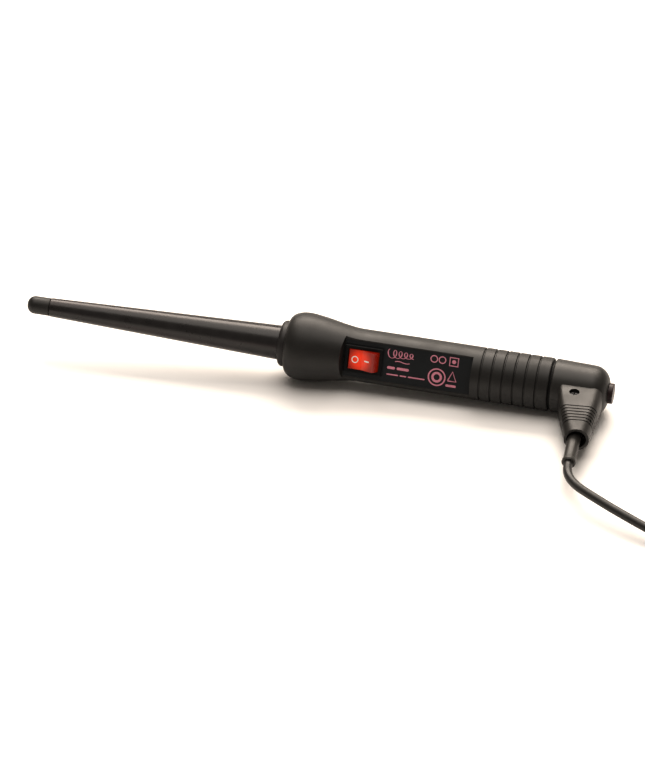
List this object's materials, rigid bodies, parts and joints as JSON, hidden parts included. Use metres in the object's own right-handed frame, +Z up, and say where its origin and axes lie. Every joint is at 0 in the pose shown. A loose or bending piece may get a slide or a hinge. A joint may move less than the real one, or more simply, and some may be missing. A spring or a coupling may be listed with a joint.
{
  "type": "curling iron",
  "caption": "Clampless conical curling wand with a bulbous grip, red rocker switch on a flat panel, ribbed rear grip, swivelling cord head with a side branch, mains cord and plug.",
  "frame": {"origin": "centre of the bounding box on the table, without the free cord", "axes": "+X from the cool tip towards the cord head, -Y towards the side that the cord branch leaves, +Z up"},
  "size_m": [0.5355, 0.1377, 0.037],
  "materials": {
    "barrel_coating": "glossy",
    "tip_plastic": "satin",
    "aluminium": "satin",
    "ceramic": "matt",
    "fuse_body": "satin",
    "soft_touch": "soft matt",
    "heat_plastic": "matt",
    "screw_steel": "blackened",
    "panel_plastic": "satin",
    "switch_black": "satin",
    "terminal_brass": "plain",
    "rocker_red": "translucent, glossy",
    "spring_steel": "plain",
    "lamp_glass": "clear",
    "wire_pvc": "satin",
    "bearing_plastic": "satin",
    "holder_plastic": "matt",
    "cord_rubber": "satin",
    "tie_fabric": "woven",
    "plug_plastic": "satin",
    "pin_nickel": "nickel plated"
  },
  "bodies": {
    "swivel_head": {"swivel_head_top": "soft_touch", "swivel_head_bottom": "soft_touch", "head_screw": "screw_steel", "swivel_core": "bearing_plastic", "slip_ring_live": "terminal_brass", "slip_ring_neutral": "terminal_brass", "thrust_washer": "bearing_plastic", "cord_cores": "wire_pvc", "cord_clamp": "holder_plastic", "cord_guard": "cord_rubber", "end_knob": "heat_plastic", "power_cord": "cord_rubber", "cord_hank": "cord_rubber", "cord_tail": "cord_rubber", "cord_tie": "tie_fabric", "plug_body": "plug_plastic", "plug_pins": "pin_nickel", "pin_sleeves": "plug_plastic"},
    "handle": {"cool_tip": "tip_plastic", "barrel": "barrel_coating", "heat_spreader_upper": "aluminium", "heat_spreader_lower": "aluminium", "heater_element": "ceramic", "thermal_fuse": "fuse_body", "collar": "heat_plastic", "barrel_holder": "holder_plastic", "handle_front_shell": "soft_touch", "handle_back_shell": "soft_touch", "handle_screws": "screw_steel", "switch_plate": "panel_plastic", "switch_housing": "switch_black", "switch_terminals": "terminal_brass", "contact_cradle": "terminal_brass", "lead_wires": "wire_pvc", "bearing_bush": "bearing_plastic", "brush_holder": "holder_plastic", "contact_springs": "spring_steel"},
    "rocker": {"rocker": "rocker_red", "rocker_plunger": "spring_steel", "indicator_lamp": "lamp_glass"}
  },
  "joints": [
    {"name": "cord_swivel", "type": "hinge", "parent": "swivel_head", "child": "handle", "pos_m": [0.12857, 0.02419, 0.01431], "axis": [0.9995, 0, -0.0309], "continuous": true},
    {"name": "rocker_tilt", "type": "hinge", "parent": "handle", "child": "rocker", "pos_m": [0.0272, 0.01658, 0.02022], "axis": [0.0291, 0.342, 0.9392], "range_deg": [0, 24]}
  ]
}
